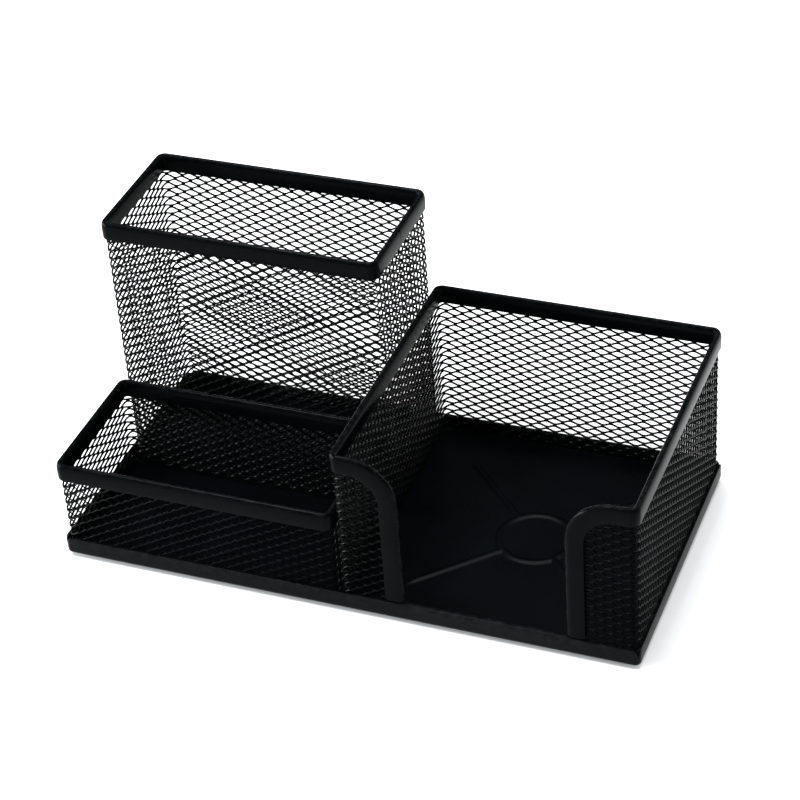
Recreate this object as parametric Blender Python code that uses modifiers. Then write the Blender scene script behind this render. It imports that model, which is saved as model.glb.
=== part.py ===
"""Desk organizer of sheet steel and expanded metal: a pen cup, a clip tray and a memo box on one base tray.

Metres, +Z up. X runs along the length and -Y is the front. The origin is on the desk, under the
middle of the base tray. A basket is a mesh wall bent round four sides, with a folded rim channel
over its top edge, and it stands inside the lip of the base tray.
"""

import math

import bmesh
import bpy
from mathutils import Matrix, Vector

# Overall size, and the rim heights above the underside of the base tray
LENGTH = 0.205
DEPTH = 0.1035
PEN_CUP_HEIGHT = 0.1015
CLIP_TRAY_HEIGHT = 0.0382
MEMO_BOX_HEIGHT = 0.0635

# Baskets, measured over their rims
PEN_CUP_LENGTH = 0.101
CLIP_TRAY_DEPTH = 0.053
BASKET_GAP = 0.0005

# Base tray
SHEET = 0.0008
LIP_HEIGHT = 0.0067
BASE_CORNER = 0.002
BASE_BEND = 0.0015
LIP_END_WIDTH = 0.0022
LIP_END_DROP = 0.0035
HEM_WIDTH = 0.0024
HEM_CROWN = 0.0001
HEM_DEPTH = 0.0044

# Embossed ring and ribs on the memo box's floor
RING_RADIUS = 0.0125
RIDGE_WIDTH = 0.0026
RIDGE_HEIGHT = 0.0008
GROOVE_WIDTH = 0.0014
GROOVE_DEPTH = 0.0005
RIB_MARGIN = 0.016

# Mesh walls and the rim channel that is folded over them
MESH_THICKNESS = 0.0008
RIM_SHEET = 0.0006
RIM_BAND = 0.0065
RIM_CORNER = 0.0035
SEAM_GAP = 0.0003
PEN_SEAM_FROM_BACK = 0.0265
CLIP_SEAM_FROM_BACK = 0.024

# Opening in the front of the memo box
LEFT_RETURN = 0.0232
RIGHT_RETURN = 0.0244
OPENING_RADIUS = 0.017

# Pads under the base
PAD_RADIUS = 0.005
PAD_THICKNESS = 0.0009
PAD_INSET = 0.012

# Clearance between touching pieces
FIT_GAP = 0.0003

BEND_SEGMENTS = 4
CORNER_SEGMENTS = 5
OPENING_SEGMENTS = 14
ARC_SEGMENTS = 6
RING_SEGMENTS = 44

# Derived sizes
BASE_Z = PAD_THICKNESS + FIT_GAP
RIM_HALF = RIM_SHEET + FIT_GAP + MESH_THICKNESS / 2
RIM_INSET = SHEET - RIM_SHEET
WALL_INSET = RIM_SHEET + FIT_GAP
LEFT, RIGHT = -LENGTH / 2, LENGTH / 2
FRONT, BACK = -DEPTH / 2, DEPTH / 2

COATINGS = {
    "base_coat": ((0.016, 0.017, 0.019), 0.42),
    "rim_coat": ((0.018, 0.019, 0.021), 0.38),
    "mesh_coat": ((0.014, 0.015, 0.016), 0.45),
}


class Basket:
    """A basket's outer rectangle, over its rim, and the height of its rim."""

    def __init__(self, name, x, y, height):
        self.name = name
        self.x = x
        self.y = y
        self.top = BASE_Z + height


def baskets():
    left = LEFT + RIM_INSET
    split = left + PEN_CUP_LENGTH
    front = FRONT + RIM_INSET
    back = BACK - RIM_INSET
    middle = front + CLIP_TRAY_DEPTH
    pen = Basket("pen_cup", (left, split), (middle + BASKET_GAP, back), PEN_CUP_HEIGHT)
    clip = Basket("clip_tray", (left, split), (front, middle), CLIP_TRAY_HEIGHT)
    memo_x = (split + BASKET_GAP, RIGHT - RIM_INSET)
    memo = Basket("memo_box", memo_x, (front, back), MEMO_BOX_HEIGHT)
    return pen, clip, memo


class Opening:
    """The opening in the front of the memo box: its two upright edges and the curves at their tops."""

    def __init__(self, memo):
        self.left = memo.x[0] + LEFT_RETURN
        self.right = memo.x[1] - RIGHT_RETURN
        self.left_radius = min(OPENING_RADIUS, LEFT_RETURN - RIM_CORNER)
        self.right_radius = min(OPENING_RADIUS, RIGHT_RETURN - RIM_CORNER)


# Scene helpers


def clear_scene():
    for obj in list(bpy.data.objects):
        bpy.data.objects.remove(obj, do_unlink=True)


def new_collection(name, hidden=False):
    collection = bpy.data.collections.new(name)
    collection.hide_render = hidden
    bpy.context.scene.collection.children.link(collection)
    return collection


def coating(name, colour, roughness, metallic=0.0):
    material = bpy.data.materials.new(name)
    material.use_nodes = True
    shader = material.node_tree.nodes["Principled BSDF"]
    shader.inputs["Base Color"].default_value = (*colour, 1.0)
    shader.inputs["Roughness"].default_value = roughness
    shader.inputs["Metallic"].default_value = metallic
    return material


def add_object(name, bm, collection, material=None):
    bmesh.ops.recalc_face_normals(bm, faces=bm.faces)
    mesh = bpy.data.meshes.new(name)
    bm.to_mesh(mesh)
    bm.free()
    mesh.shade_smooth()
    mesh.set_sharp_from_angle(angle=math.radians(35))
    obj = bpy.data.objects.new(name, mesh)
    collection.objects.link(obj)
    if material:
        mesh.materials.append(material)
    return obj


def add_cutter(name, bm, collection):
    obj = add_object(name, bm, collection)
    obj.hide_render = True
    obj.display_type = "WIRE"
    return obj


def solidify(obj, thickness):
    """Gives an outer skin its thickness, inwards."""
    modifier = obj.modifiers.new("sheet", "SOLIDIFY")
    modifier.thickness = thickness
    modifier.offset = -1.0
    modifier.use_even_offset = True


def boolean(obj, operation, cutter=None, collection=None):
    modifier = obj.modifiers.new(operation.lower(), "BOOLEAN")
    modifier.operation = operation
    modifier.solver = "EXACT"
    if cutter:
        modifier.object = cutter
    else:
        modifier.operand_type = "COLLECTION"
        modifier.collection = collection


# Shape helpers


def box(x, y, z):
    bm = bmesh.new()
    size = Vector((x[1] - x[0], y[1] - y[0], z[1] - z[0]))
    middle = Vector((sum(x), sum(y), sum(z))) / 2
    place = Matrix.Translation(middle) @ Matrix.Diagonal((*size, 1.0))
    bmesh.ops.create_cube(bm, size=1.0, matrix=place)
    return bm


def round_uprights(bm, radius):
    uprights = [e for e in bm.edges if (e.verts[0].co - e.verts[1].co).xy.length < 1e-9]
    bmesh.ops.bevel(
        bm, geom=uprights, offset=radius, segments=CORNER_SEGMENTS, profile=0.5, affect="EDGES"
    )


def faces_at(bm, z):
    return [f for f in bm.faces if all(abs(v.co.z - z) < 1e-7 for v in f.verts)]


def edges_at(bm, z):
    return [e for e in bm.edges if all(abs(v.co.z - z) < 1e-7 for v in e.verts)]


def arc(centre, radius, start, end, segments):
    """Points on an arc in a plane, from one angle in degrees to another."""
    angles = [math.radians(start + (end - start) * i / segments) for i in range(segments + 1)]
    return [(centre[0] + radius * math.cos(a), centre[1] + radius * math.sin(a)) for a in angles]


def prism(outline, along, place):
    """A flat outline in the local XY plane, extruded along local Z over the two given heights."""
    bm = bmesh.new()
    face = bm.faces.new([bm.verts.new((u, v, along[0])) for u, v in outline])
    grown = bmesh.ops.extrude_face_region(bm, geom=[face])["geom"]
    moved = [v for v in grown if isinstance(v, bmesh.types.BMVert)]
    bmesh.ops.translate(bm, verts=moved, vec=(0, 0, along[1] - along[0]))
    bmesh.ops.transform(bm, matrix=place, verts=bm.verts)
    return bm


def axes(across, up, along, origin=(0, 0, 0)):
    """A matrix whose local X, Y and Z run along the three given directions."""
    turn = Matrix((across, up, along)).transposed().to_4x4()
    return Matrix.Translation(origin) @ turn


XZ_PLANE = axes((1, 0, 0), (0, 0, 1), (0, -1, 0))
YZ_PLANE = axes((0, 1, 0), (0, 0, 1), (1, 0, 0))


# Base tray


def lip_end_cutters(collection):
    """Rounds off the two lip ends that meet at each corner of the base tray."""
    top = BASE_Z + LIP_HEIGHT
    bottom = top - LIP_END_DROP
    steps = [math.radians(90 * i / ARC_SEGMENTS) for i in range(ARC_SEGMENTS + 1)]
    right = [
        (LIP_END_WIDTH * (1 - math.sin(a)), bottom + LIP_END_DROP * math.cos(a)) for a in steps
    ]
    left = [(-u, v) for u, v in reversed(right[:-1])]
    outline = right + left + [(-LIP_END_WIDTH, top + SHEET), (LIP_END_WIDTH, top + SHEET)]
    reach = 3 * BASE_CORNER
    for name, x, y in (
        ("front_left", LEFT, FRONT),
        ("front_right", RIGHT, FRONT),
        ("back_left", LEFT, BACK),
        ("back_right", RIGHT, BACK),
    ):
        outward = Vector((math.copysign(1, x), math.copysign(1, y), 0)).normalized()
        tangent = Vector((0, 0, 1)).cross(outward)
        place = axes(tangent, (0, 0, 1), tangent.cross((0, 0, 1)), (x, y, 0))
        add_cutter(f"lip_end_{name}", prism(outline, (-reach, reach), place), collection)


def hem(opening):
    """The lip's fold over the low edge of the memo box's front, between the two returns."""
    top = BASE_Z + LIP_HEIGHT + HEM_CROWN
    outer = FRONT + SHEET / 2
    inner = FRONT + HEM_WIDTH
    radius = HEM_WIDTH / 4
    outline = [(outer, top - SHEET)]
    outline += arc((outer + radius, top - radius), radius, 180, 90, BEND_SEGMENTS)
    outline += arc((inner - radius, top - radius), radius, 90, 0, BEND_SEGMENTS)
    outline += [(inner, top - HEM_DEPTH), (inner - SHEET, top - HEM_DEPTH), (inner - SHEET, top - SHEET)]
    ends = (opening.left - RIM_HALF + FIT_GAP, opening.right + RIM_HALF - FIT_GAP)
    return prism(outline, ends, YZ_PLANE)


def ridge_outline(width, height, root):
    """A low crown of the given width and height, with its root sunk below it."""
    half = width / 2
    radius = (half * half + height * height) / (2 * height)
    spread = math.degrees(math.asin(half / radius))
    crown = arc((0, height - radius), radius, 90 - spread, 90 + spread, ARC_SEGMENTS)
    return [(half, -root)] + crown + [(-half, -root)]


def ring(name, centre, outline, collection):
    """A closed section turned about the middle of the memo box's floor."""
    bm = bmesh.new()
    section = [bm.verts.new((RING_RADIUS + u, 0, v)) for u, v in outline]
    for i in range(len(section)):
        bm.edges.new((section[i - 1], section[i]))
    turned = add_cutter(name, bm, collection)
    turned.location = centre
    screw = turned.modifiers.new("turn", "SCREW")
    screw.steps = RING_SEGMENTS
    screw.render_steps = RING_SEGMENTS
    screw.use_merge_vertices = True
    screw.merge_threshold = 1e-5
    screw.use_normal_calculate = True


def emboss(prefix, memo, outline, z, collection):
    """The ring in the middle of the memo box's floor and the four ribs that run out to its corners."""
    centre = Vector((sum(memo.x) / 2, sum(memo.y) / 2, z))
    ring(f"{prefix}_ring", centre, outline, collection)
    half = min(memo.x[1] - memo.x[0], memo.y[1] - memo.y[0]) / 2 - RIB_MARGIN
    for number, degrees in enumerate((45, 135, 225, 315)):
        turn = math.radians(degrees)
        along = Vector((math.cos(turn), math.sin(turn), 0))
        across = Vector((0, 0, 1)).cross(along)
        place = axes(-across, (0, 0, 1), along, centre)
        rib = prism(outline, (RING_RADIUS + RIDGE_WIDTH / 5, half * math.sqrt(2)), place)
        add_cutter(f"{prefix}_rib_{number}", rib, collection)


def base_tray(memo, opening, parts, shapes, material):
    bottom, top = BASE_Z, BASE_Z + LIP_HEIGHT
    bm = box((LEFT, RIGHT), (FRONT, BACK), (bottom, top))
    round_uprights(bm, BASE_CORNER)
    bmesh.ops.delete(bm, geom=faces_at(bm, top), context="FACES_ONLY")
    bmesh.ops.bevel(
        bm,
        geom=edges_at(bm, bottom),
        offset=BASE_BEND,
        segments=BEND_SEGMENTS,
        profile=0.5,
        affect="EDGES",
    )
    tray = add_object("base_tray", bm, parts, material)
    solidify(tray, SHEET)
    lip_ends = bpy.data.collections.new("lip_ends")
    ridges = bpy.data.collections.new("ridges")
    grooves = bpy.data.collections.new("grooves")
    for collection in (lip_ends, ridges, grooves):
        shapes.children.link(collection)
    lip_end_cutters(lip_ends)
    emboss("ridge", memo, ridge_outline(RIDGE_WIDTH, RIDGE_HEIGHT, SHEET / 2), bottom + SHEET, ridges)
    emboss("groove", memo, ridge_outline(GROOVE_WIDTH, GROOVE_DEPTH, SHEET / 2), bottom, grooves)
    add_cutter("hem_shape", hem(opening), ridges)
    boolean(tray, "DIFFERENCE", collection=lip_ends)
    boolean(tray, "UNION", collection=ridges)
    boolean(tray, "DIFFERENCE", collection=grooves)


# Mesh walls


def wall_foot():
    """Height at which a wall's lower edge clears the floor and the bend inside the base tray."""
    reach = max(0.0, BASE_BEND - RIM_INSET - WALL_INSET)
    room = max(0.0, BASE_BEND - SHEET - FIT_GAP)
    over_bend = BASE_BEND - math.sqrt(max(0.0, room * room - reach * reach))
    return BASE_Z + max(SHEET + FIT_GAP, over_bend)


def mesh_wall(basket, parts, material):
    """The expanded-metal wall as a plain sheet of the same thickness, bent round four sides."""
    x = (basket.x[0] + WALL_INSET, basket.x[1] - WALL_INSET)
    y = (basket.y[0] + WALL_INSET, basket.y[1] - WALL_INSET)
    z = (wall_foot(), basket.top - RIM_HALF)
    bm = box(x, y, z)
    round_uprights(bm, RIM_CORNER - WALL_INSET)
    bmesh.ops.delete(bm, geom=faces_at(bm, z[0]) + faces_at(bm, z[1]), context="FACES_ONLY")
    wall = add_object(f"{basket.name}_mesh", bm, parts, material)
    solidify(wall, MESH_THICKNESS)
    return wall


def opening_cutter(memo, opening, shapes):
    """Cuts the front wall back so that its edge stands inside the rim channel."""
    centre_z = memo.top - opening.left_radius
    left_centre = (opening.left - opening.left_radius, centre_z)
    left = arc(left_centre, opening.left_radius - RIM_HALF, 0, 90, OPENING_SEGMENTS)
    centre_z = memo.top - opening.right_radius
    right_centre = (opening.right + opening.right_radius, centre_z)
    right = arc(right_centre, opening.right_radius - RIM_HALF, 90, 180, OPENING_SEGMENTS)
    above = memo.top + RIM_BAND
    outline = [(opening.left - RIM_HALF, 0.0)] + left + [(left[-1][0], above)]
    outline += [(right[0][0], above)] + right + [(opening.right + RIM_HALF, 0.0)]
    front = (-memo.y[0] - 2 * RIM_CORNER, -memo.y[0] + RIM_CORNER)
    return add_cutter("opening_shape", prism(outline, front, XZ_PLANE), shapes)


# Rim channels


def channel_outline():
    """Section of the folded channel: its offset across the wall, and its depth from the free edge."""
    slot = RIM_HALF - RIM_SHEET
    outer = arc((0, RIM_HALF), RIM_HALF, 0, -180, ARC_SEGMENTS)
    inner = arc((0, RIM_HALF), slot, -180, 0, ARC_SEGMENTS)
    outer_leaf = [(RIM_HALF, RIM_BAND)] + outer + [(-RIM_HALF, RIM_BAND)]
    inner_leaf = [(-slot, RIM_BAND)] + inner + [(slot, RIM_BAND)]
    return outer_leaf + inner_leaf


def plan_corner(basket, side_x, side_y, start, end):
    """Stations round one upright corner: (point on the free edge, outward, into the wall)."""
    x = basket.x[side_x] + (RIM_CORNER if side_x == 0 else -RIM_CORNER)
    y = basket.y[side_y] + (RIM_CORNER if side_y == 0 else -RIM_CORNER)
    stations = []
    for u, v in arc((0, 0), 1.0, start, end, CORNER_SEGMENTS):
        outward = Vector((u, v, 0))
        point = Vector((x, y, basket.top)) + outward * (RIM_CORNER - RIM_HALF)
        stations.append((point, outward, Vector((0, 0, -1))))
    return stations


def side_station(basket, y):
    """A station on the right-hand side of a basket."""
    point = Vector((basket.x[1] - RIM_HALF, y, basket.top))
    return point, Vector((1, 0, 0)), Vector((0, 0, -1))


def loop_stations(basket, seam_from_back):
    """All the way round a basket, from one side of its butt seam to the other."""
    seam = basket.y[1] - seam_from_back
    stations = [side_station(basket, seam + SEAM_GAP / 2)]
    stations += plan_corner(basket, 1, 1, 0, 90)
    stations += plan_corner(basket, 0, 1, 90, 180)
    stations += plan_corner(basket, 0, 0, 180, 270)
    stations += plan_corner(basket, 1, 0, 270, 360)
    stations.append(side_station(basket, seam - SEAM_GAP / 2))
    return stations


def edge_stations(memo, x, radius, side):
    """Up one upright edge of the opening and over the curve at its top. Side is -1 left, 1 right."""
    y = memo.y[0] + RIM_HALF
    outward = Vector((0, -1, 0))
    foot_z = BASE_Z + LIP_HEIGHT + HEM_CROWN + 2 * FIT_GAP
    stations = [(Vector((x, y, foot_z)), outward, Vector((side, 0, 0)))]
    centre = Vector((x + side * radius, y, memo.top - radius))
    for u, v in arc((0, 0), 1.0, 0, 90, OPENING_SEGMENTS):
        away = Vector((-side * u, 0, v))
        stations.append((centre + away * radius, outward, -away))
    return stations


def memo_stations(memo, opening):
    """Up the left return, round the sides and the back, and down the right return."""
    left = edge_stations(memo, opening.left, opening.left_radius, -1)
    right = edge_stations(memo, opening.right, opening.right_radius, 1)
    stations = left
    stations += plan_corner(memo, 0, 0, 270, 180)
    stations += plan_corner(memo, 0, 1, 180, 90)
    stations += plan_corner(memo, 1, 1, 90, 0)
    stations += plan_corner(memo, 1, 0, 0, -90)
    return stations + right[::-1]


def rim_channel(basket, stations, parts, material):
    """Lofts the channel's section along its stations, which no curve's own frame would follow."""
    bm = bmesh.new()
    rings = []
    for point, outward, inward in stations:
        ring = [bm.verts.new(point + outward * a + inward * b) for a, b in channel_outline()]
        rings.append(ring)
    for ring, following in zip(rings, rings[1:]):
        for i in range(len(ring)):
            bm.faces.new((ring[i - 1], ring[i], following[i], following[i - 1]))
    bm.faces.new(rings[0])
    bm.faces.new(reversed(rings[-1]))
    bmesh.ops.remove_doubles(bm, verts=bm.verts, dist=1e-7)
    return add_object(f"{basket.name}_rim", bm, parts, material)


# Pads


def pads(parts, material):
    for name, x, y in (
        ("front_left", LEFT + PAD_INSET, FRONT + PAD_INSET),
        ("front_right", RIGHT - PAD_INSET, FRONT + PAD_INSET),
        ("back_left", LEFT + PAD_INSET, BACK - PAD_INSET),
        ("back_right", RIGHT - PAD_INSET, BACK - PAD_INSET),
    ):
        bm = bmesh.new()
        bmesh.ops.create_cone(
            bm,
            cap_ends=True,
            segments=RING_SEGMENTS,
            radius1=PAD_RADIUS,
            radius2=PAD_RADIUS,
            depth=PAD_THICKNESS,
        )
        pad = add_object(f"pad_{name}", bm, parts, material)
        pad.location = (x, y, PAD_THICKNESS / 2)


def main():
    clear_scene()
    parts = new_collection("desk_organizer")
    shapes = new_collection("cutters", hidden=True)
    coats = {name: coating(name, *values) for name, values in COATINGS.items()}
    foam = coating("pad_foam", (0.03, 0.03, 0.03), 0.9)
    pen, clip, memo = baskets()
    opening = Opening(memo)
    base_tray(memo, opening, parts, shapes, coats["base_coat"])
    for basket in (pen, clip, memo):
        wall = mesh_wall(basket, parts, coats["mesh_coat"])
        if basket is memo:
            boolean(wall, "DIFFERENCE", cutter=opening_cutter(memo, opening, shapes))
    rim_channel(pen, loop_stations(pen, PEN_SEAM_FROM_BACK), parts, coats["rim_coat"])
    rim_channel(clip, loop_stations(clip, CLIP_SEAM_FROM_BACK), parts, coats["rim_coat"])
    rim_channel(memo, memo_stations(memo, opening), parts, coats["rim_coat"])
    pads(parts, foam)


main()
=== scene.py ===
"""Looks of the desk organizer: expanded-metal walls, folded rim channels and an embossed base tray."""

import math

import bmesh
import bpy
import numpy as np
from mathutils import Matrix, Vector, noise


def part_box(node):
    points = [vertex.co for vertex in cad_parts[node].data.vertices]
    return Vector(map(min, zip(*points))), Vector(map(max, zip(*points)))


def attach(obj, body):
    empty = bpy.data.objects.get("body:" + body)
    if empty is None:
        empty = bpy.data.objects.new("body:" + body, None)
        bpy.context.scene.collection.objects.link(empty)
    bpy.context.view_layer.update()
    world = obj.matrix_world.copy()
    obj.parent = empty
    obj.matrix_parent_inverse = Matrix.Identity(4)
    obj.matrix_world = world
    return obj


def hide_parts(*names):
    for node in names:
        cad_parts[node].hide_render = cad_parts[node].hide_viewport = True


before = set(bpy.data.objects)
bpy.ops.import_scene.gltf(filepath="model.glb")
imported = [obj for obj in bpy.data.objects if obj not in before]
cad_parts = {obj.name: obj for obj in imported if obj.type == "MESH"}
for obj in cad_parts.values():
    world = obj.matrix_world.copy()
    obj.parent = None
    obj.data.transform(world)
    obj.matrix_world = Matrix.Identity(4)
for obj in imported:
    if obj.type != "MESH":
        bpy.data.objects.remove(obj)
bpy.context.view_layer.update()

# Expanded metal: the pitch of its diamonds, and the strands that are left between them
LONG_PITCH = 0.00595
SHORT_PITCH = 0.00336
STRAND_WIDTH = 0.0007
STRAND_THICKNESS = 0.00047
STRAND_TILT = math.radians(38)
STRAND_SWELL = 1.1
STRAND_ROUND = 0.00013
BOND_LENGTH = 0.001
WEAVE_DRIFT = 0.00012
WEAVE_DRIFT_SCALE = 55.0
HEIGHT_DRIFT_SEED = 5
SEED_STEPS = (7.31, 3.17, 1.73)
EDGE_COVER = 0.0022

# Sheet metal sizes, as in the CAD source
SHEET = 0.0008
RIM_SHEET = 0.0006
RIM_BAND = 0.0065
RIM_HALF = 0.0013
RIM_CORNER = 0.0035
SEAM_GAP = 0.0003
PEN_SEAM_FROM_BACK = 0.0265
CLIP_SEAM_FROM_BACK = 0.024
LEFT_RETURN = 0.0232
RIGHT_RETURN = 0.0244
OPENING_RADIUS = 0.017
MESH_THICKNESS = 0.0008
LIP_HEIGHT = 0.0067
BASE_CORNER = 0.002
BASE_BEND = 0.0015
LIP_END_WIDTH = 0.0022
LIP_END_DROP = 0.0035
HEM_WIDTH = 0.0024
HEM_DEPTH = 0.0044
HEM_CROWN = 0.0001
RING_RADIUS = 0.0125
RIDGE_WIDTH = 0.0026

# Sizes of this script's own: the wall's and the hem's bends, and the emboss, lower than in the CAD source
WALL_CORNER = 0.0026
HEM_BEND = HEM_WIDTH / 3.2
RIDGE_HEIGHT = 0.0005
RIB_REACH = 0.0503
RIB_FADE = 0.006

# Softness of folded and cut edges
LEAF_PINCH = 0.00005
CROWN_DEPTH = 0.003
CROWN_POWER = 2.3
RIM_WAVER = 0.00005
RIM_WAVER_SCALE = 70.0
RIM_WAVER_STEP = 0.006
RIM_WORN_DEPTH = RIM_HALF * 0.8
HEM_SAG = 0.00012
HEM_SAG_SCALE = 90
HEM_SAG_SHIFT = 0.6
HEM_LEAN = 0.00022
HEM_LEAN_SCALE = 130
HEM_SET_BACK = 0.0001
PAD_ROUND = 0.00028
PAD_FACE_SHARE = 0.55
UNDERSIDE_SHARE = 0.85
CUT_ROUND = 0.00022

# Grids and steps of the meshes
EMBOSS_GRID = 0.00053
EMBOSS_AREA = 0.038
COARSE_GRID = 0.0035
LIP_END_SPAN = 3
LIP_END_LINES = 17
ARC_STEPS = 16
CORNER_STEPS = 10
OPENING_STEPS = 30
TIP_STEPS = 4
INNER_BEND_STEPS = 5
OUTER_BEND_STEPS = 6
CUT_STEPS = 3
HEM_STEPS = 90
HEM_ARC_STEPS = 8
PAD_TURNS = 48

# Angles in degrees above which an edge is shaded sharp
WEAVE_SHARP = 62
SHEET_SHARP = 50


# Geometry helpers


def face_outwards(mesh):
    """Turns a closed mesh's faces round if they all face in."""
    solid = bmesh.new()
    solid.from_mesh(mesh)
    if solid.calc_volume(signed=True) < 0:
        bmesh.ops.reverse_faces(solid, faces=solid.faces)
        solid.to_mesh(mesh)
    solid.free()


def make_piece(name, vertices, faces, material, nodes, sharp=None, wear=None):
    """A mesh object that rides on the one body and stands for CAD nodes."""
    mesh = bpy.data.meshes.new(name)
    mesh.from_pydata([tuple(v) for v in vertices], [], [tuple(f) for f in faces])
    face_outwards(mesh)
    mesh.shade_smooth()
    if sharp:
        mesh.set_sharp_from_angle(angle=math.radians(sharp))
    amount = mesh.attributes.new("wear", "FLOAT", "POINT")
    if wear is not None:
        amount.data.foreach_set("value", np.asarray(wear, np.float32))
    mesh.materials.append(material)
    piece = bpy.data.objects.new(name, mesh)
    bpy.context.scene.collection.objects.link(piece)
    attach(piece, "root")
    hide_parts(*nodes)
    return piece


def arc(centre, radius, start, end, steps):
    """Points on an arc in a plane, from one angle in degrees to another."""
    angles = [math.radians(start + (end - start) * i / steps) for i in range(steps + 1)]
    return [(centre[0] + radius * math.cos(a), centre[1] + radius * math.sin(a)) for a in angles]


def rounded_loop(x, y, radius, distances):
    """Points and outward directions at distances along a rounded rectangle, from the middle of its back."""
    wide, deep = (x[1] - x[0]) / 2 - radius, (y[1] - y[0]) / 2 - radius
    bend = radius * math.pi / 2
    centre = np.array([(x[0] + x[1]) / 2, (y[0] + y[1]) / 2])
    runs = [wide, bend, 2 * deep, bend, 2 * wide, bend, 2 * deep, bend, wide]
    total = sum(runs)
    corners = [(-wide, deep, 90), (-wide, -deep, 180), (wide, -deep, 270), (wide, deep, 360)]
    sides = [(0, deep, 90), (-wide, deep, 180), (-wide, -deep, 270), (wide, -deep, 360), (wide, deep, 450)]
    points, outwards = np.zeros((len(distances), 2)), np.zeros((len(distances), 2))
    for n, distance in enumerate(distances):
        left = distance % total
        for run, length in enumerate(runs):
            if left <= length or run == len(runs) - 1:
                break
            left -= length
        if run % 2:
            cx, cy, turn = corners[run // 2]
            angle = math.radians(turn) + left / radius
            out = np.array([math.cos(angle), math.sin(angle)])
            at = np.array([cx, cy]) + out * radius
        else:
            cx, cy, turn = sides[run // 2]
            out = np.array([math.cos(math.radians(turn)), math.sin(math.radians(turn))])
            along = np.array([-out[1], out[0]])
            at = np.array([cx, cy]) + out * radius + along * left
        points[n], outwards[n] = centre + at, out
    return points, outwards, total


def drift(points, seed, scale, amount):
    """A smooth wander for each point, the same on every run."""
    shift = Vector([seed * step for step in SEED_STEPS])
    return np.array([amount * noise.noise(Vector(p) * scale + shift) for p in points])


# Baskets


class Basket:
    """One basket's outer rectangle over its rim, and the wall inside that rim, from the CAD boxes."""

    def __init__(self, name, seed):
        rim_low, rim_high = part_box(f"{name}_rim")
        wall_low, wall_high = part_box(f"{name}_mesh")
        self.name = name
        self.seed = seed
        self.x = (rim_low.x, rim_high.x)
        self.y = (rim_low.y, rim_high.y)
        self.top = rim_high.z
        self.foot = rim_low.z
        half = MESH_THICKNESS / 2
        self.wall_x = (wall_low.x + half, wall_high.x - half)
        self.wall_y = (wall_low.y + half, wall_high.y - half)
        self.wall_z = (wall_low.z, wall_high.z)


class Opening:
    """The opening in the front of the memo box."""

    def __init__(self, memo):
        self.left = memo.x[0] + LEFT_RETURN
        self.right = memo.x[1] - RIGHT_RETURN
        self.radius = OPENING_RADIUS
        self.top = memo.top

    def cover(self, x, z):
        """How far inside the wall's free edge a point of the front wall is."""
        over = np.maximum(z - (self.top - self.radius), 0.0)
        left = np.maximum(x - (self.left - self.radius), 0.0)
        right = np.maximum(self.right + self.radius - x, 0.0)
        straight = over <= 0
        from_left = np.where(straight, self.left - x, self.radius - np.hypot(left, over))
        from_right = np.where(straight, x - self.right, self.radius - np.hypot(right, over))
        return np.maximum(from_left, from_right)


# Expanded metal
# A strip zigzags between two rows of bonds. Its section has six points: front top, middle top,
# back top, back bottom, middle bottom and front bottom. Stations 0-1 of a cell are the lower bond
# and 3-4 the upper one, where two strips share the points on their joint.

FRONT_TOP, MIDDLE_TOP, BACK_TOP, BACK_LOW, MIDDLE_LOW, FRONT_LOW = range(6)
STATIONS = 6


def strand_sections(height):
    """Each station's six section points as (along from the station, up, out)."""
    half, thick, cut = STRAND_WIDTH / 2, STRAND_THICKNESS / 2, STRAND_ROUND
    lean, rise = math.sin(STRAND_TILT), math.cos(STRAND_TILT)
    # Each is (end of its bond, level, offset across the strand, swell, joint below -1 or above 1)
    stations = [
        (-1, 0.0, half, 1.0, -1),
        (1, 0.0, half, 1.0, -1),
        (0, 0.5, 0.0, STRAND_SWELL, 0),
        (-1, 1.0, -half, 1.0, 1),
        (1, 1.0, -half, 1.0, 1),
        (0, 0.5, 0.0, STRAND_SWELL, 0),
    ]
    sections = np.zeros((STATIONS, 6, 3))
    for n, (bond_end, level, offset, swell, joint) in enumerate(stations):
        wide = half * swell
        shape = [
            (wide - cut, thick),
            (wide, 0.0),
            (wide - cut, -thick),
            (cut - wide, -thick),
            (-wide, 0.0),
            (cut - wide, thick),
        ]
        if joint > 0:
            shape[FRONT_TOP], shape[BACK_TOP] = (wide, thick), (wide, -thick)
        if joint < 0:
            shape[FRONT_LOW], shape[BACK_LOW] = (-wide, thick), (-wide, -thick)
        for point, (a, b) in enumerate(shape):
            up = height * level + (offset + a) * rise - b * lean
            out = (offset + a) * lean + b * rise
            sections[n, point] = (0.0, up, out)
        if joint:
            shared = MIDDLE_TOP if joint > 0 else MIDDLE_LOW
            sections[n, shared, 0] = bond_end * cut
    return sections


def station_offsets(pitch):
    """Each station's distance along the wall, from its cell's lower bond."""
    bond = BOND_LENGTH / 2
    return np.array([-bond, bond, pitch / 4, pitch / 2 - bond, pitch / 2 + bond, pitch * 3 / 4])


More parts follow.
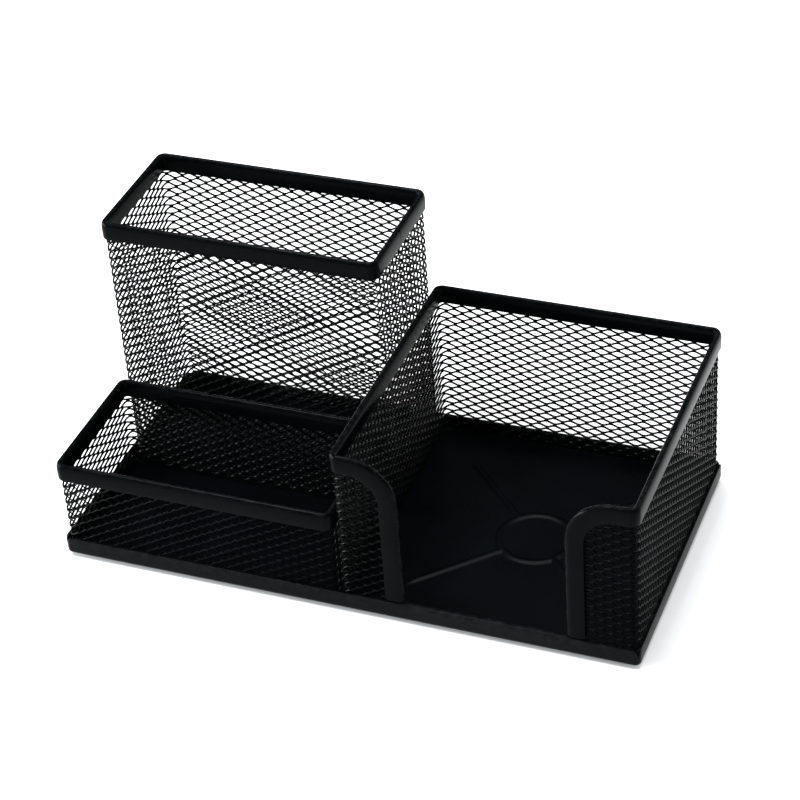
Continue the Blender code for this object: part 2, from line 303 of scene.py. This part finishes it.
def kept_strands(strips, cells, pitch, basket, foot, opening):
    """Which segments are left: all of them, or those far enough inside an opening's free edge."""
    keep = np.ones((strips, cells, STATIONS), bool)
    if opening is None:
        return keep

    def covered(distances, heights):
        points, outwards, _ = rounded_loop(
            basket.wall_x, basket.wall_y, WALL_CORNER - MESH_THICKNESS / 2, distances
        )
        front = outwards[:, 1] < -0.5
        return ~front | (opening.cover(points[:, 0], heights) > EDGE_COVER)

    rows = []
    for strip in range(strips + 1):
        start = pitch / 2 * (strip % 2)
        distances = start + pitch * np.arange(cells)
        heights = np.full(cells, foot + SHORT_PITCH / 2 * strip)
        rows.append(covered(distances, heights))
    for strip in range(strips):
        low = rows[strip]
        high = rows[strip + 1] if strip % 2 == 0 else np.roll(rows[strip + 1], -1)
        keep[strip, :, 0] = low
        keep[strip, :, 1] = keep[strip, :, 2] = low & high
        keep[strip, :, 3] = high
        keep[strip, :, 4] = keep[strip, :, 5] = high & np.roll(low, -1)
    return drop_lone_bonds(keep)


def below_cells(strip, cells):
    """For each cell of a strip, the cell of the strip below whose upper bond joins it."""
    cell = np.arange(cells)
    return cell if strip % 2 else (cell - 1) % cells


def drop_lone_bonds(keep):
    """Takes away bonds that no strand reaches."""
    strips, cells, _ = keep.shape
    for strip in range(strips + 1):
        held = np.zeros(cells, bool)
        if strip < strips:
            held |= keep[strip, :, 1] | np.roll(keep[strip, :, 4], 1)
        if strip > 0:
            below = below_cells(strip, cells)
            held |= keep[strip - 1, below, 1] | keep[strip - 1, below, 4]
        if strip < strips:
            keep[strip, :, 0] &= held
        if strip > 0:
            keep[strip - 1, below, 3] &= held
    return keep


def expanded_metal(basket, material, opening=None):
    """A wall of expanded metal bent round the basket's four sides, one closed surface."""
    corner = WALL_CORNER - MESH_THICKNESS / 2
    _, _, total = rounded_loop(basket.wall_x, basket.wall_y, corner, [0.0])
    cells = round(total / LONG_PITCH)
    pitch = total / cells
    reach = STRAND_WIDTH * math.cos(STRAND_TILT) + STRAND_THICKNESS
    foot = basket.wall_z[0] + reach
    strips = int((basket.wall_z[1] - reach - foot) / (SHORT_PITCH / 2))
    sections = strand_sections(SHORT_PITCH / 2)
    offsets = station_offsets(pitch)

    strip, cell, station = np.meshgrid(
        np.arange(strips), np.arange(cells), np.arange(STATIONS), indexing="ij"
    )
    along = (cell + (strip % 2) / 2) * pitch + offsets[station]
    spread = along[..., None] + sections[station][..., 0]
    heights = foot + SHORT_PITCH / 2 * strip[..., None] + sections[station][..., 1]
    outs = sections[station][..., 2]
    points, outwards, _ = rounded_loop(basket.wall_x, basket.wall_y, corner, spread.ravel())
    flat = np.column_stack([points, heights.ravel()])
    side = np.column_stack([-outwards[:, 1], outwards[:, 0], np.zeros(len(flat))])
    flat += side * drift(flat, basket.seed, WEAVE_DRIFT_SCALE, WEAVE_DRIFT)[:, None]
    flat[:, 2] += drift(flat, basket.seed + HEIGHT_DRIFT_SEED, WEAVE_DRIFT_SCALE, WEAVE_DRIFT)
    flat[:, :2] += outwards * outs.ravel()[:, None]

    index = np.arange(strips * cells * STATIONS * 6).reshape(strips, cells, STATIONS, 6)
    for n in range(1, strips):
        below = below_cells(n, cells)
        for own, theirs in ((0, 3), (1, 4)):
            index[n, :, own, FRONT_LOW] = index[n - 1, below, theirs, FRONT_TOP]
            index[n, :, own, MIDDLE_LOW] = index[n - 1, below, theirs, MIDDLE_TOP]
            index[n, :, own, BACK_LOW] = index[n - 1, below, theirs, BACK_TOP]

    keep = kept_strands(strips, cells, pitch, basket, foot, opening)
    faces = strand_faces(index.reshape(strips, cells * STATIONS, 6), keep)
    used = np.unique(faces[faces >= 0])
    renumber = np.full(len(flat), -1)
    renumber[used] = np.arange(len(used))
    polygons = [[renumber[v] for v in face if v >= 0] for face in faces]
    name, nodes = f"{basket.name}_weave", [f"{basket.name}_mesh"]
    return make_piece(name, flat[used], polygons, material, nodes, sharp=WEAVE_SHARP)


def strand_faces(index, keep):
    """Quads round every kept segment, left out where two strips join, and caps on loose ends."""
    strips, length, _ = index.shape
    cells = length // STATIONS
    keep = keep.reshape(strips, length)
    faces = []
    for strip in range(strips):
        below = np.zeros(cells, bool)
        above = np.zeros(cells, bool)
        if strip > 0:
            below = keep[strip - 1].reshape(cells, STATIONS)[below_cells(strip, cells), 3]
        if strip < strips - 1:
            above[below_cells(strip + 1, cells)] = keep[strip + 1].reshape(cells, STATIONS)[:, 0]
        for n in range(length):
            if not keep[strip, n]:
                continue
            start, end = index[strip, n], index[strip, (n + 1) % length]
            cell, station = divmod(n, STATIONS)
            for point in range(6):
                low_wall = point in (BACK_LOW, MIDDLE_LOW)
                high_wall = point in (FRONT_TOP, MIDDLE_TOP)
                if low_wall and station == 0 and below[cell]:
                    continue
                if high_wall and station == 3 and above[cell]:
                    continue
                after = (point + 1) % 6
                faces.append((start[point], start[after], end[after], end[point], -1, -1))
            if not keep[strip, n - 1]:
                faces.append(tuple(start[::-1]))
            if not keep[strip, (n + 1) % length]:
                faces.append(tuple(end))
    return np.array(faces)


# Rim channels


def crown():
    """The soft crown of the fold, from one side over the free edge to the other."""
    points = []
    for n in range(ARC_STEPS + 1):
        turn = math.pi / 2 - math.pi * n / ARC_STEPS
        across = math.copysign(abs(math.sin(turn)) ** (2 / CROWN_POWER), math.sin(turn))
        depth = 1 - max(0.0, math.cos(turn)) ** (2 / CROWN_POWER)
        points.append((RIM_HALF * across, CROWN_DEPTH * depth))
    return points


def pinched(points, waist):
    """A leaf's points, drawn in slightly from its waist to its end."""
    moved = []
    for across, depth in points:
        share = max(0.0, (depth - waist) / (RIM_BAND - waist))
        moved.append((across - math.copysign(LEAF_PINCH, across) * share, depth))
    return moved


def channel_section():
    """The folded channel's outer and inner surfaces, each as (across, depth from the free edge)."""
    slot = RIM_HALF - RIM_SHEET
    half = RIM_SHEET / 2
    end = RIM_BAND - half
    fold = arc((0, RIM_HALF), slot, 0, -180, ARC_STEPS)
    middle = slot + half
    tip = arc((middle, end), half, 90, 0, TIP_STEPS)
    inner_tip = arc((middle, end), half, 90, 180, TIP_STEPS)
    waist = (RIM_HALF + end) / 2
    first_outer = tip + [(RIM_HALF, waist)]
    first_inner = inner_tip + [(slot, waist)]
    last_outer = [(-a, b) for a, b in reversed(first_outer)]
    last_inner = [(-a, b) for a, b in reversed(first_inner)]
    outer = pinched(first_outer, waist) + crown() + pinched(last_outer, waist)
    inner = pinched(first_inner, waist) + fold + pinched(last_inner, waist)
    return outer, inner


def plan_corner(basket, side_x, side_y, start, end):
    """Stations round one upright corner: (point on the free edge, outward, into the wall)."""
    x = basket.x[side_x] + (RIM_CORNER if side_x == 0 else -RIM_CORNER)
    y = basket.y[side_y] + (RIM_CORNER if side_y == 0 else -RIM_CORNER)
    stations = []
    for u, v in arc((0, 0), 1.0, start, end, CORNER_STEPS):
        outward = Vector((u, v, 0))
        point = Vector((x, y, basket.top)) + outward * (RIM_CORNER - RIM_HALF)
        stations.append((point, outward, Vector((0, 0, -1))))
    return stations


def side_station(basket, y):
    """A station on the right-hand side of a basket."""
    point = Vector((basket.x[1] - RIM_HALF, y, basket.top))
    return point, Vector((1, 0, 0)), Vector((0, 0, -1))


def loop_stations(basket, seam_from_back):
    """All the way round a basket, from one side of its butt seam to the other."""
    seam = basket.y[1] - seam_from_back
    stations = [side_station(basket, seam + SEAM_GAP / 2)]
    stations += plan_corner(basket, 1, 1, 0, 90)
    stations += plan_corner(basket, 0, 1, 90, 180)
    stations += plan_corner(basket, 0, 0, 180, 270)
    stations += plan_corner(basket, 1, 0, 270, 360)
    stations.append(side_station(basket, seam - SEAM_GAP / 2))
    return stations


def edge_stations(memo, x, side):
    """Up one upright edge of the opening and over the curve at its top. Side is -1 left, 1 right."""
    y = memo.y[0] + RIM_HALF
    outward = Vector((0, -1, 0))
    stations = [(Vector((x, y, memo.foot)), outward, Vector((side, 0, 0)))]
    centre = Vector((x + side * OPENING_RADIUS, y, memo.top - OPENING_RADIUS))
    for u, v in arc((0, 0), 1.0, 0, 90, OPENING_STEPS):
        away = Vector((-side * u, 0, v))
        stations.append((centre + away * OPENING_RADIUS, outward, -away))
    return stations


def memo_stations(memo, opening):
    """Up the left return, round the sides and the back, and down the right return."""
    stations = edge_stations(memo, opening.left, -1)
    stations += plan_corner(memo, 0, 0, 270, 180)
    stations += plan_corner(memo, 0, 1, 180, 90)
    stations += plan_corner(memo, 1, 1, 90, 0)
    stations += plan_corner(memo, 1, 0, 0, -90)
    return stations + edge_stations(memo, opening.right, 1)[::-1]


def divided(stations, step):
    """Adds stations on the long straight runs, so that they can waver."""
    dense = [stations[0]]
    for before, after in zip(stations, stations[1:]):
        count = int((after[0] - before[0]).length / step)
        for n in range(1, count):
            share = n / count
            dense.append(tuple(a.lerp(b, share) for a, b in zip(before, after)))
        dense.append(after)
    return dense


def rim_channel(basket, stations, material):
    """The channel section swept along its stations, closed at both ends."""
    outer, inner = channel_section()
    section = outer + inner[::-1][1:-1]
    size = len(section)
    vertices, faces, wear = [], [], []
    for point, outward, inward in divided(stations, RIM_WAVER_STEP):
        waver = RIM_WAVER * (noise.noise(point * RIM_WAVER_SCALE + Vector((basket.seed, 0, 0))) - 0.5)
        for a, b in section:
            sway = waver * min(1.0, b / RIM_BAND * 2)
            vertices.append(point + outward * (a + sway * math.copysign(1, a)) + inward * b)
            wear.append(max(0.0, 1 - b / RIM_WORN_DEPTH))
    rings = len(vertices) // size
    for ring in range(rings - 1):
        start, end = ring * size, (ring + 1) * size
        for n in range(size):
            after = (n + 1) % size
            faces.append((start + n, start + after, end + after, end + n))
    last = (rings - 1) * size
    count = len(outer)
    for base, flip in ((0, False), (last, True)):
        for n in range(count - 1):
            inner_n = (base + size - n) if n else base
            inner_after = base + size - n - 1
            if n == count - 2:
                inner_after = base + count - 1
            quad = [base + n, inner_n, inner_after, base + n + 1]
            quad = list(dict.fromkeys(quad))
            faces.append(quad[::-1] if flip else quad)
    name, nodes = f"{basket.name}_channel", [f"{basket.name}_rim"]
    return make_piece(name, vertices, faces, material, nodes, sharp=SHEET_SHARP, wear=wear)


# Base tray


def ridge_height(distance):
    """The emboss's height at a distance from its centre line, with soft roots."""
    share = np.clip(1 - (distance / (RIDGE_WIDTH / 2)) ** 2, 0, 1)
    return RIDGE_HEIGHT * share * share * (3 - 2 * share)


def emboss(x, y, centre):
    """Height of the ring and ribs over the floor."""
    dx, dy = x - centre[0], y - centre[1]
    away = np.hypot(dx, dy)
    height = ridge_height(np.abs(away - RING_RADIUS))
    across = np.minimum(np.abs(dx - dy), np.abs(dx + dy)) / math.sqrt(2)
    fade = np.clip((RIB_REACH - away) / RIB_FADE, 0, 1)
    rib = ridge_height(across) * fade * fade * (3 - 2 * fade)
    return np.where(away > RING_RADIUS, np.maximum(height, rib), height)


def grid_lines(low, high, focus):
    """Grid lines over the floor: close near its ends and over the emboss, wide elsewhere."""
    near = np.linspace(0, LIP_END_SPAN * LIP_END_WIDTH, LIP_END_LINES)
    lines = np.concatenate([low + near, high - near])
    fine = (max(focus - EMBOSS_AREA, low + near[-1]), min(focus + EMBOSS_AREA, high - near[-1]))
    lines = np.concatenate([lines, np.linspace(*fine, round((fine[1] - fine[0]) / EMBOSS_GRID))])
    for start, end in ((low + near[-1], fine[0]), (fine[1], high - near[-1])):
        if end - start > COARSE_GRID:
            count = round((end - start) / COARSE_GRID) + 1
            lines = np.concatenate([lines, np.linspace(start, end, count)])
    return np.unique(np.round(lines, 7))


def lip_section(drop):
    """From the floor's top edge over the lip to its underside, as (outwards, up) from the underside."""
    inner_bend = BASE_BEND - SHEET
    inner = BASE_CORNER - SHEET
    top = LIP_HEIGHT - drop
    hub = (BASE_CORNER - BASE_BEND, BASE_BEND)
    points = arc(hub, inner_bend, -90, 0, INNER_BEND_STEPS)
    points += arc((inner + CUT_ROUND, top - CUT_ROUND), CUT_ROUND, 180, 90, CUT_STEPS)
    points += arc((BASE_CORNER - CUT_ROUND, top - CUT_ROUND), CUT_ROUND, 90, 0, CUT_STEPS)
    points += arc(hub, BASE_BEND, 0, -90, OUTER_BEND_STEPS)
    return points


def end_drop(distance):
    """How much lower the lip's rounded end is, at a distance along it from the corner's middle."""
    share = max(0.0, 1 - distance / LIP_END_WIDTH)
    return LIP_END_DROP * (1 - math.sqrt(max(0.0, 1 - share * share)))


def tray_floor(low, high, memo):
    """The floor's top and underside over one grid: vertices, faces, and the grid's lines each way."""
    xs = grid_lines(low.x + BASE_CORNER, high.x - BASE_CORNER, sum(memo.x) / 2)
    ys = grid_lines(low.y + BASE_CORNER, high.y - BASE_CORNER, sum(memo.y) / 2)
    nx, ny = len(xs), len(ys)
    gx, gy = np.meshgrid(xs, ys, indexing="ij")
    raised = emboss(gx, gy, (sum(memo.x) / 2, sum(memo.y) / 2))
    top = np.dstack([gx, gy, low.z + SHEET + raised]).reshape(-1, 3)
    under = np.dstack([gx, gy, low.z + raised * UNDERSIDE_SHARE]).reshape(-1, 3)
    vertices = [tuple(p) for p in top] + [tuple(p) for p in under]
    faces = []
    for i in range(nx - 1):
        for j in range(ny - 1):
            here, there = i * ny + j, (i + 1) * ny + j
            quad = (here, there, there + 1, here + 1)
            faces.append(quad)
            faces.append(tuple(nx * ny + v for v in reversed(quad)))
    return vertices, faces, nx, ny


def grid_borders(nx, ny):
    """The grid's four borders in order round it, each a run of (vertex, outward)."""
    return [
        [(i * ny, (0, -1)) for i in range(nx)],
        [((nx - 1) * ny + j, (1, 0)) for j in range(ny)],
        [(i * ny + ny - 1, (0, 1)) for i in reversed(range(nx))],
        [(j, (-1, 0)) for j in reversed(range(ny))],
    ]


def lip_stations(borders, vertices):
    """Stations round the tray: (floor vertex, outward, distance from the nearest corner's middle)."""
    quarter = BASE_CORNER * math.pi / 4
    stations = []
    for run in borders:
        first, last = Vector(vertices[run[0][0]]), Vector(vertices[run[-1][0]])
        for hub, outward in run:
            here = Vector(vertices[hub])
            ends = min((here.xy - first.xy).length, (here.xy - last.xy).length)
            stations.append((hub, Vector(outward), ends + quarter))
        hub, outward = run[-1]
        for n in range(1, CORNER_STEPS):
            turn = math.radians(90 * n / CORNER_STEPS)
            around = Matrix.Rotation(turn, 2) @ Vector(outward)
            stations.append((hub, around, abs(BASE_CORNER * (turn - math.pi / 4))))
    return stations


def base_tray(memo, material):
    """One pressing: the floor with its ring and ribs, and the lip bent up all round it."""
    low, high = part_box("base_tray")
    vertices, faces, nx, ny = tray_floor(low, high, memo)
    wear = [0.0] * len(vertices)
    rings = []
    for hub, outward, distance in lip_stations(grid_borders(nx, ny), vertices):
        x, y = vertices[hub][:2]
        drop = end_drop(distance)
        worn_above = LIP_HEIGHT - drop - 2 * CUT_ROUND
        ring = [hub]
        for out, up in lip_section(drop):
            ring.append(len(vertices))
            vertices.append((x + outward.x * out, y + outward.y * out, low.z + up))
            wear.append(1.0 if up > worn_above else 0.0)
        ring.append(nx * ny + hub)
        rings.append(ring)
    for ring, following in zip(rings, rings[1:] + rings[:1]):
        for a, b, c, d in zip(ring, following, following[1:], ring[1:]):
            quad = list(dict.fromkeys((a, d, c, b)))
            if len(quad) > 2:
                faces.append(quad)
    return make_piece(
        "base_pressing", vertices, faces, material, ["base_tray"], sharp=SHEET_SHARP, wear=wear
    )


def memo_hem(opening, material):
    """The lip's fold over the low edge of the memo box's front."""
    low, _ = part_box("base_tray")
    top = low.z + LIP_HEIGHT + HEM_CROWN
    outer, inner = low.y + CUT_ROUND / 2, low.y + HEM_WIDTH
    section = [(outer, top - SHEET)]
    section += arc((outer + HEM_BEND, top - HEM_BEND), HEM_BEND, 180, 90, HEM_ARC_STEPS)
    section += arc((inner - HEM_BEND, top - HEM_BEND), HEM_BEND, 90, 0, HEM_ARC_STEPS)
    end_centre = (inner - SHEET / 2, top - HEM_DEPTH + SHEET / 2)
    section += arc(end_centre, SHEET / 2, 0, -180, HEM_ARC_STEPS)
    section += [(inner - SHEET, top - SHEET)]
    start, end = opening.left - RIM_HALF / 2, opening.right + RIM_HALF / 2
    vertices, faces, wear = [], [], []
    for n in range(HEM_STEPS + 1):
        x = start + (end - start) * n / HEM_STEPS
        sag = HEM_SAG * (noise.noise(Vector((x * HEM_SAG_SCALE, 2.0, 0))) - HEM_SAG_SHIFT)
        for y, z in section:
            reach = (y - outer) / HEM_WIDTH
            wander = noise.noise(Vector((x * HEM_LEAN_SCALE, 9.0, 0)))
            lean = HEM_LEAN * wander * reach - HEM_SET_BACK * reach
            vertices.append((x, y + lean, z + min(0.0, sag) * reach))
            wear.append(max(0.0, 1 - (top - z) / HEM_BEND))
    size = len(section)
    for n in range(HEM_STEPS):
        for k in range(size):
            after = (k + 1) % size
            faces.append((n * size + k, n * size + after, (n + 1) * size + after, (n + 1) * size + k))
    faces.append(tuple(range(size))[::-1])
    faces.append(tuple(HEM_STEPS * size + k for k in range(size)))
    return make_piece(
        "memo_hem", vertices, faces, material, ["base_tray"], sharp=SHEET_SHARP, wear=wear
    )


# Pads


def foam_pad(node, material):
    """A low disc with soft edges."""
    low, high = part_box(node)
    centre = (low + high) / 2
    radius, height, soft = (high.x - low.x) / 2, high.z - low.z, PAD_ROUND
    section = [(radius * PAD_FACE_SHARE, 0.0)]
    section += arc((radius - soft, soft), soft, -90, 0, TIP_STEPS)
    section += arc((radius - soft, height - soft), soft, 0, 90, TIP_STEPS)
    section += [(radius * PAD_FACE_SHARE, height)]
    vertices, faces = [], []
    for n in range(PAD_TURNS):
        angle = 2 * math.pi * n / PAD_TURNS
        for r, z in section:
            vertices.append((centre.x + r * math.cos(angle), centre.y + r * math.sin(angle), low.z + z))
    size = len(section)
    for n in range(PAD_TURNS):
        here, there = n * size, (n + 1) % PAD_TURNS * size
        for k in range(size - 1):
            faces.append((here + k, there + k, there + k + 1, here + k + 1))
    vertices.append((centre.x, centre.y, low.z))
    vertices.append((centre.x, centre.y, high.z))
    bottom, top = len(vertices) - 2, len(vertices) - 1
    for n in range(PAD_TURNS):
        here, there = n * size, (n + 1) % PAD_TURNS * size
        faces.append((bottom, there, here))
        faces.append((top, here + size - 1, there + size - 1))
    return make_piece(f"{node}_foam", vertices, faces, material, [node], sharp=SHEET_SHARP)


# Materials

CLOUD_SCALE = 38.0
CLOUD_RELIEF = 0.00025
PEEL_RELIEF = 0.00003
SPECK_SCALE = 5200.0
SPECK_SHARE = 0.35
WORN_SCALE = 420.0
WORN_SHARE = 0.5
WORN_POLISH = 0.06
PORE_SCALE = 3800.0
PORE_RELIEF = 0.0001
FOAM_DARK = (0.012, 0.012, 0.012)
FOAM_LIGHT = (0.034, 0.034, 0.035)
FLOOR_CLOUD_SCALE = 3.0
FLOOR_SHADES = ((0.86, 0.86, 0.865), (0.88, 0.88, 0.88))

# Each coat's colour, colour where it is worn, roughness, scale of its orange peel and specular level
BASE_COAT = ((0.0008, 0.0013, 0.0017), (0.009, 0.010, 0.011), 0.3, 2100.0, 0.045)
RIM_COAT = ((0.0008, 0.0012, 0.0014), (0.012, 0.013, 0.013), 0.2, 2400.0, 0.022)
MESH_COAT = ((0.0006, 0.0009, 0.0009), (0.007, 0.008, 0.008), 0.24, 3600.0, 0.07)


class Nodes:
    """A short way to build a node material."""

    def __init__(self, name):
        self.material = bpy.data.materials.new(name)
        self.material.use_nodes = True
        self.tree = self.material.node_tree
        self.shader = self.tree.nodes["Principled BSDF"]
        self.position = self.add("ShaderNodeTexCoord").outputs["Object"]

    def add(self, kind, **settings):
        node = self.tree.nodes.new(kind)
        for key, value in settings.items():
            setattr(node, key, value)
        return node

    def link(self, source, target):
        self.tree.links.new(source, target)

    def noise(self, scale, detail=3.0, roughness=0.55):
        node = self.add("ShaderNodeTexNoise")
        node.inputs["Scale"].default_value = scale
        node.inputs["Detail"].default_value = detail
        node.inputs["Roughness"].default_value = roughness
        self.link(self.position, node.inputs["Vector"])
        return node.outputs["Fac"]

    def remap(self, source, low, high, to_low, to_high):
        node = self.add("ShaderNodeMapRange")
        for key, value in zip(("From Min", "From Max", "To Min", "To Max"), (low, high, to_low, to_high)):
            node.inputs[key].default_value = value
        self.link(source, node.inputs["Value"])
        return node.outputs["Result"]

    def math(self, operation, first, second):
        node = self.add("ShaderNodeMath", operation=operation)
        for n, value in enumerate((first, second)):
            if isinstance(value, (int, float)):
                node.inputs[n].default_value = value
            else:
                self.link(value, node.inputs[n])
        return node.outputs["Value"]

    def mix(self, factor, first, second):
        node = self.add("ShaderNodeMix", data_type="RGBA")
        self.link(factor, node.inputs[0])
        for socket, value in ((node.inputs[6], first), (node.inputs[7], second)):
            if isinstance(value, tuple):
                socket.default_value = (*value, 1.0)
            else:
                self.link(value, socket)
        return node.outputs[2]

    def bump(self, layers):
        """Chains bump layers, each as (height, distance in metres, strength)."""
        normal = None
        for height, distance, strength in layers:
            node = self.add("ShaderNodeBump")
            node.inputs["Distance"].default_value = distance
            node.inputs["Strength"].default_value = strength
            self.link(height, node.inputs["Height"])
            if normal:
                self.link(normal, node.inputs["Normal"])
            normal = node.outputs["Normal"]
        self.link(normal, self.shader.inputs["Normal"])


def powder_coat(name, colour, worn, roughness, grain, specular):
    """Black powder coat: orange peel, faint clouding, specks, and polish where an edge is handled."""
    nodes = Nodes(name)
    peel = nodes.noise(grain, 2.0)
    clouds = nodes.noise(CLOUD_SCALE, 4.0, 0.6)
    specks = nodes.remap(nodes.noise(SPECK_SCALE, 1.0), 0.66, 0.74, 0.0, 1.0)
    edge = nodes.add("ShaderNodeAttribute", attribute_name="wear").outputs["Fac"]
    patchy = nodes.remap(nodes.noise(WORN_SCALE, 5.0, 0.7), 0.42, 0.66, 0.0, 1.0)
    polish = nodes.math("MULTIPLY", edge, patchy)
    shade = nodes.remap(clouds, 0.3, 0.7, 0.0, 1.0)
    clouded = nodes.mix(shade, tuple(c * 0.78 for c in colour), tuple(c * 1.25 for c in colour))
    flecked = nodes.mix(nodes.math("MULTIPLY", specks, SPECK_SHARE), clouded, worn)
    surface = nodes.mix(nodes.math("MULTIPLY", polish, WORN_SHARE), flecked, worn)
    nodes.link(surface, nodes.shader.inputs["Base Color"])
    dull = nodes.remap(clouds, 0.3, 0.7, roughness - 0.04, roughness + 0.05)
    dull = nodes.math("ADD", dull, nodes.remap(peel, 0.3, 0.7, -0.03, 0.03))
    dull = nodes.math("SUBTRACT", dull, nodes.math("MULTIPLY", polish, WORN_POLISH))
    nodes.link(dull, nodes.shader.inputs["Roughness"])
    nodes.shader.inputs["Specular IOR Level"].default_value = specular
    nodes.bump([(clouds, CLOUD_RELIEF, 0.2), (peel, PEEL_RELIEF, 0.22)])
    return nodes.material


def foam_rubber(name):
    """Dark closed-cell foam with fine pores."""
    nodes = Nodes(name)
    pores = nodes.noise(PORE_SCALE, 3.0, 0.7)
    shade = nodes.remap(pores, 0.35, 0.65, 0.0, 1.0)
    nodes.link(nodes.mix(shade, FOAM_DARK, FOAM_LIGHT), nodes.shader.inputs["Base Color"])
    nodes.link(nodes.remap(pores, 0.3, 0.7, 0.85, 0.98), nodes.shader.inputs["Roughness"])
    nodes.bump([(pores, PORE_RELIEF, 0.7)])
    return nodes.material


def pale_floor(name):
    """A plain, nearly white floor."""
    nodes = Nodes(name)
    clouds = nodes.noise(FLOOR_CLOUD_SCALE, 2.0)
    nodes.link(nodes.mix(clouds, *FLOOR_SHADES), nodes.shader.inputs["Base Color"])
    nodes.link(nodes.remap(clouds, 0.3, 0.7, 0.7, 0.8), nodes.shader.inputs["Roughness"])
    nodes.shader.inputs["Specular IOR Level"].default_value = 0.2
    return nodes.material


# Stage

CAMERA_AZIMUTH = math.radians(23.17)
CAMERA_ELEVATION = math.radians(36.12)
CAMERA_ROLL = math.radians(-4.40)
CAMERA_DISTANCE = 0.90924
CAMERA_TARGET = Vector((-0.02213, 0.06229, 0.0019))
CAMERA_LENS = 110.79
SENSOR_WIDTH = 36.0
CLIP_RANGE = (0.01, 50.0)
FLOOR_REACH = 6.0
WORLD_COLOUR = (0.98, 0.99, 1.0, 1.0)
WORLD_STRENGTH = 1.0
NEUTRAL = (1, 1, 1)
COOL = (0.94, 0.98, 1.0)

# Each soft box's name, place, aim, size, power in watts and colour
SOFT_BOXES = (
    ("top_box", (-0.05, 0.15, 1.3), (0, 0, 0), (1.1, 0.8), 16.0, NEUTRAL),
    ("back_box", (0.0, 1.3, 1.0), (0, 0, 0.03), (1.6, 0.9), 1.2, NEUTRAL),
    ("key_box", (-0.45, -0.25, 1.1), (0, 0, 0.03), (0.16, 0.16), 8.0, COOL),
    ("left_box", (-1.15, -0.35, 0.18), (0, 0, 0.04), (1.1, 0.3), 30.0, COOL),
    ("right_box", (0.8, 0.9, 0.75), (0, 0, 0.03), (0.2, 0.2), 1.2, NEUTRAL),
)


def add_camera():
    """The camera, placed round its target by azimuth, elevation and distance, then rolled."""
    a, e = CAMERA_AZIMUTH, CAMERA_ELEVATION
    back = Vector((math.sin(a) * math.cos(e), -math.cos(a) * math.cos(e), math.sin(e)))
    right = Vector((math.cos(a), math.sin(a), 0))
    up = back.cross(right)
    rolled = right * math.cos(CAMERA_ROLL) + up * math.sin(CAMERA_ROLL)
    upright = back.cross(rolled)
    data = bpy.data.cameras.new("camera")
    data.lens = CAMERA_LENS
    data.sensor_width = SENSOR_WIDTH
    data.clip_start, data.clip_end = CLIP_RANGE
    camera = bpy.data.objects.new("camera", data)
    camera.matrix_world = Matrix.Translation(CAMERA_TARGET + back * CAMERA_DISTANCE) @ Matrix(
        (rolled, upright, back)
    ).transposed().to_4x4()
    bpy.context.scene.collection.objects.link(camera)
    bpy.context.scene.camera = camera


def add_floor():
    """One wide face that the pads stand on."""
    mesh = bpy.data.meshes.new("floor")
    reach = FLOOR_REACH
    corners = [(-reach, -reach, 0), (reach, -reach, 0), (reach, reach, 0), (-reach, reach, 0)]
    mesh.from_pydata(corners, [], [(0, 1, 2, 3)])
    mesh.materials.append(pale_floor("pale_floor"))
    floor = bpy.data.objects.new("floor", mesh)
    bpy.context.scene.collection.objects.link(floor)


def soft_box(name, place, aim, size, power, colour):
    """An area light that faces its aim."""
    data = bpy.data.lights.new(name, "AREA")
    data.shape = "RECTANGLE"
    data.size, data.size_y = size
    data.energy = power
    data.color = colour
    light = bpy.data.objects.new(name, data)
    light.location = place
    light.rotation_mode = "QUATERNION"
    light.rotation_quaternion = (Vector(aim) - Vector(place)).to_track_quat("-Z", "Y")
    bpy.context.scene.collection.objects.link(light)


def add_world():
    """A pale world that lights the set and is its backdrop, but isn't mirrored by the black coat."""
    world = bpy.data.worlds.new("studio")
    world.use_nodes = True
    sky = world.node_tree.nodes["Background"]
    sky.inputs["Color"].default_value = WORLD_COLOUR
    sky.inputs["Strength"].default_value = WORLD_STRENGTH
    world.cycles_visibility.glossy = False
    bpy.context.scene.world = world


def add_lights():
    """The view transform, the world and the soft boxes."""
    bpy.context.scene.view_settings.view_transform = "Standard"
    add_world()
    for settings in SOFT_BOXES:
        soft_box(*settings)


def main():
    """Builds the camera, the pieces and the stage."""
    add_camera()
    base_coat = powder_coat("base_coat", *BASE_COAT)
    rim_coat = powder_coat("rim_coat", *RIM_COAT)
    mesh_coat = powder_coat("mesh_coat", *MESH_COAT)
    foam = foam_rubber("pad_foam")
    pen, clip, memo = Basket("pen_cup", 1), Basket("clip_tray", 2), Basket("memo_box", 3)
    opening = Opening(memo)
    expanded_metal(pen, mesh_coat)
    expanded_metal(clip, mesh_coat)
    expanded_metal(memo, mesh_coat, opening)
    rim_channel(pen, loop_stations(pen, PEN_SEAM_FROM_BACK), rim_coat)
    rim_channel(clip, loop_stations(clip, CLIP_SEAM_FROM_BACK), rim_coat)
    rim_channel(memo, memo_stations(memo, opening), rim_coat)
    base_tray(memo, base_coat)
    memo_hem(opening, base_coat)
    for node in ("pad_front_left", "pad_front_right", "pad_back_left", "pad_back_right"):
        foam_pad(node, foam)
    add_floor()
    add_lights()


main()
